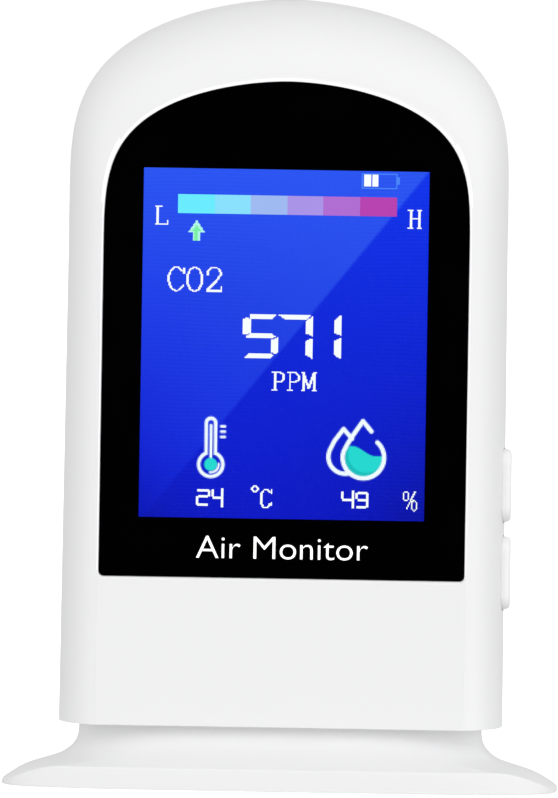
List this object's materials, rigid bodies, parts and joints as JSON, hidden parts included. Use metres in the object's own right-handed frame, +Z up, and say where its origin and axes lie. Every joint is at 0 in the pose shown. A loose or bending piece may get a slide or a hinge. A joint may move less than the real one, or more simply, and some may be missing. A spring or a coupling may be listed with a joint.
{
  "type": "carbon dioxide monitor",
  "caption": "Desktop air monitor: arched white two-shell housing, black-bordered colour display, side buttons, rear air slots and charging port, on a flared oval foot.",
  "frame": {"origin": "centre of the footprint, on the surface the monitor stands on (the underside of the rubber pads)", "axes": "+Z up, the display faces -Y, and the two buttons are on the +X side (the viewer's right)"},
  "size_m": [0.0842, 0.038, 0.1191],
  "materials": {
    "white_abs": "satin moulded ABS",
    "white_button": "satin moulded ABS",
    "clear_acrylic": "clear polished acrylic",
    "black_print": "black screen print seen through the window",
    "screen_glass": "lit colour display",
    "steel_tray": "pressed sheet",
    "amber_flex": "polyimide film",
    "black_plastic": "matt",
    "green_board": "solder mask",
    "chip_epoxy": "matt",
    "ferrite": "matt sintered ferrite",
    "nickel": "nickel plated",
    "gold_brass": "gold plated",
    "filter_membrane": "woven membrane",
    "connector_nylon": "natural nylon",
    "battery_foil": "laminated foil pouch",
    "red_wire": "silicone insulation",
    "black_wire": "silicone insulation",
    "dark_foam": "open foam and dust mesh",
    "screw_steel": "zinc plated",
    "ballast_steel": "blanked plate",
    "grey_rubber": "soft non-slip"
  },
  "bodies": {
    "case": {"battery_cell": "battery_foil", "battery_connector": "connector_nylon", "battery_lead_black": "black_wire", "battery_lead_red": "red_wire", "battery_pad": "dark_foam", "board_screw_1": "screw_steel", "board_screw_2": "screw_steel", "board_screw_3": "screw_steel", "board_screw_4": "screw_steel", "buzzer": "black_plastic", "case_screw_1": "screw_steel", "case_screw_2": "screw_steel", "case_screw_3": "screw_steel", "case_screw_4": "screw_steel", "charge_board": "green_board", "charge_cable": "amber_flex", "charger_chip": "chip_epoxy", "co2_sensor_chamber": "gold_brass", "co2_sensor_filter": "filter_membrane", "crystal": "nickel", "display_bracket": "black_plastic", "display_lens": "clear_acrylic", "foot_ballast": "ballast_steel", "foot_pad_1": "grey_rubber", "foot_pad_2": "grey_rubber", "foot_pad_3": "grey_rubber", "foot_pad_4": "grey_rubber", "foot_plate": "white_abs", "foot_screw_1": "screw_steel", "foot_screw_2": "screw_steel", "foot_screw_3": "screw_steel", "foot_screw_4": "screw_steel", "foot_shell": "white_abs", "front_shell": "white_abs", "humidity_sensor": "black_plastic", "lcd_connector": "connector_nylon", "lcd_flex": "amber_flex", "lcd_frame": "steel_tray", "lcd_panel": "screen_glass", "lens_mask": "black_print", "main_board": "green_board", "mcu_chip": "chip_epoxy", "memory_chip": "chip_epoxy", "mode_switch": "black_plastic", "plate_screw_1": "screw_steel", "plate_screw_2": "screw_steel", "power_inductor": "ferrite", "power_switch": "black_plastic", "rear_shell": "white_abs", "sensor_header": "black_plastic", "usb_socket": "nickel", "vent_mesh": "dark_foam"},
    "power_button": {"power_button": "white_button"},
    "mode_button": {"mode_button": "white_button"},
    "power_plunger": {"power_switch_plunger": "connector_nylon"},
    "mode_plunger": {"mode_switch_plunger": "connector_nylon"}
  },
  "joints": [
    {"name": "power_button_press", "type": "slide", "parent": "case", "child": "power_button", "axis": [-1, 0, 0], "range_m": [0, 0.0005], "stiffness_N_per_m": 100},
    {"name": "mode_button_press", "type": "slide", "parent": "case", "child": "mode_button", "axis": [-1, 0, 0], "range_m": [0, 0.0005], "stiffness_N_per_m": 100},
    {"name": "power_plunger_press", "type": "slide", "parent": "case", "child": "power_plunger", "axis": [-1, 0, 0], "range_m": [0, 0.00025]},
    {"name": "mode_plunger_press", "type": "slide", "parent": "case", "child": "mode_plunger", "axis": [-1, 0, 0], "range_m": [0, 0.00025]}
  ],
  "couplings": [
    {"joint": "power_plunger_press", "follows": "power_button_press", "ratio": 0.5},
    {"joint": "mode_plunger_press", "follows": "mode_button_press", "ratio": 0.5}
  ]
}
